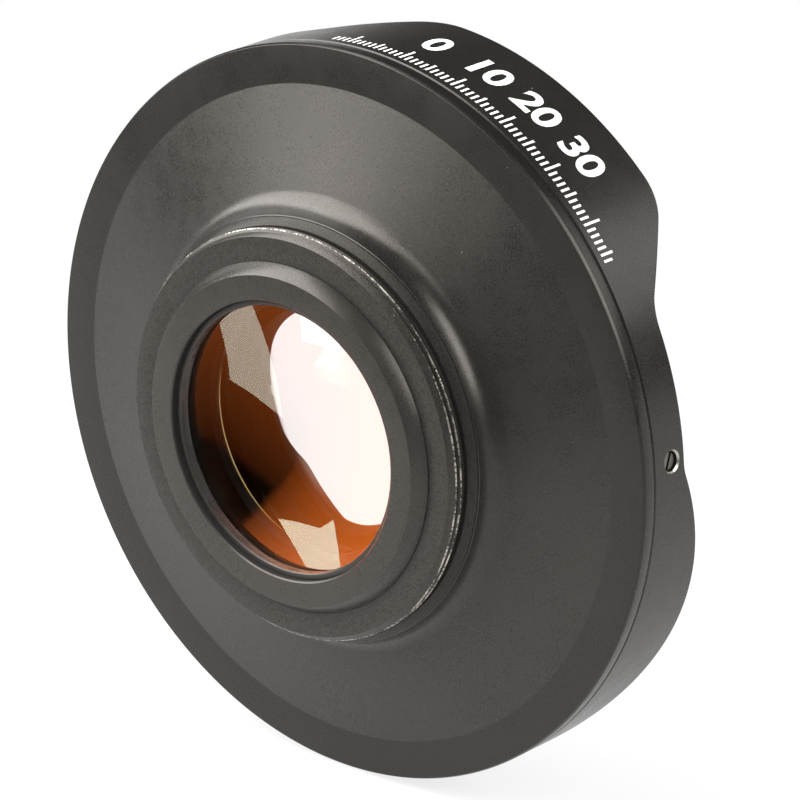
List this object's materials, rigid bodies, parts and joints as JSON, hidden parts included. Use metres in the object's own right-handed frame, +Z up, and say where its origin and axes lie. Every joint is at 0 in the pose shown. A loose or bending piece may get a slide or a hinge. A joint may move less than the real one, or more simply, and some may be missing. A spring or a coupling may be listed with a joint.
{
  "type": "fisheye converter lens",
  "caption": "Fisheye converter lens with a bell-shaped black metal body, a male rear filter thread, domed front glass and a turning petal hood held by grub screws.",
  "frame": {"origin": "on the optical axis at the rear end of the full rear thread", "axes": "optical axis level along Y, with the camera at +Y and the subject at -Y; +Z up"},
  "size_m": [0.0776, 0.0241, 0.0776],
  "materials": {
    "blasted_black": "blasted satin black anodised",
    "hood_black": "fine turned satin black anodised",
    "thread_black": "turned black anodised, worn on the thread crests",
    "inner_black": "matt black anodised",
    "coated_glass": "polished, with an amber coating",
    "shim_brass": "turned",
    "seal_rubber": "smooth black rubber",
    "screw_steel": "blackened steel"
  },
  "bodies": {
    "lens_body": {"rear_shell": "blasted_black", "mount_ring": "thread_black", "mount_lock_ring": "inner_black", "rear_cell": "blasted_black", "rear_retaining_ring": "inner_black", "rear_crown_element": "coated_glass", "rear_flint_element": "coated_glass", "element_shim": "shim_brass", "middle_element": "coated_glass", "middle_retaining_ring": "inner_black", "light_baffle": "inner_black", "front_barrel": "inner_black", "front_seal": "seal_rubber", "front_element": "coated_glass", "front_retaining_ring": "inner_black", "front_trim_ring": "blasted_black", "barrel_lock_screws": "screw_steel"},
    "hood": {"petal_hood": "hood_black"},
    "grub_screw_1": {"hood_screw_1": "screw_steel"},
    "grub_screw_2": {"hood_screw_2": "screw_steel"},
    "grub_screw_3": {"hood_screw_3": "screw_steel"}
  },
  "joints": [
    {"name": "hood_turn", "type": "hinge", "parent": "lens_body", "child": "hood", "pos_m": [0, -0.0115, 0], "axis": [0, -1, 0], "continuous": true},
    {"name": "grub_screw_1_out", "type": "slide", "parent": "hood", "child": "grub_screw_1", "axis": [-0.9962, 0, 0.0872], "range_m": [0, 0.0008]},
    {"name": "grub_screw_2_out", "type": "slide", "parent": "hood", "child": "grub_screw_2", "axis": [0.4226, 0, -0.9063], "range_m": [0, 0.0008]},
    {"name": "grub_screw_3_out", "type": "slide", "parent": "hood", "child": "grub_screw_3", "axis": [0.5736, 0, 0.8192], "range_m": [0, 0.0008]}
  ]
}
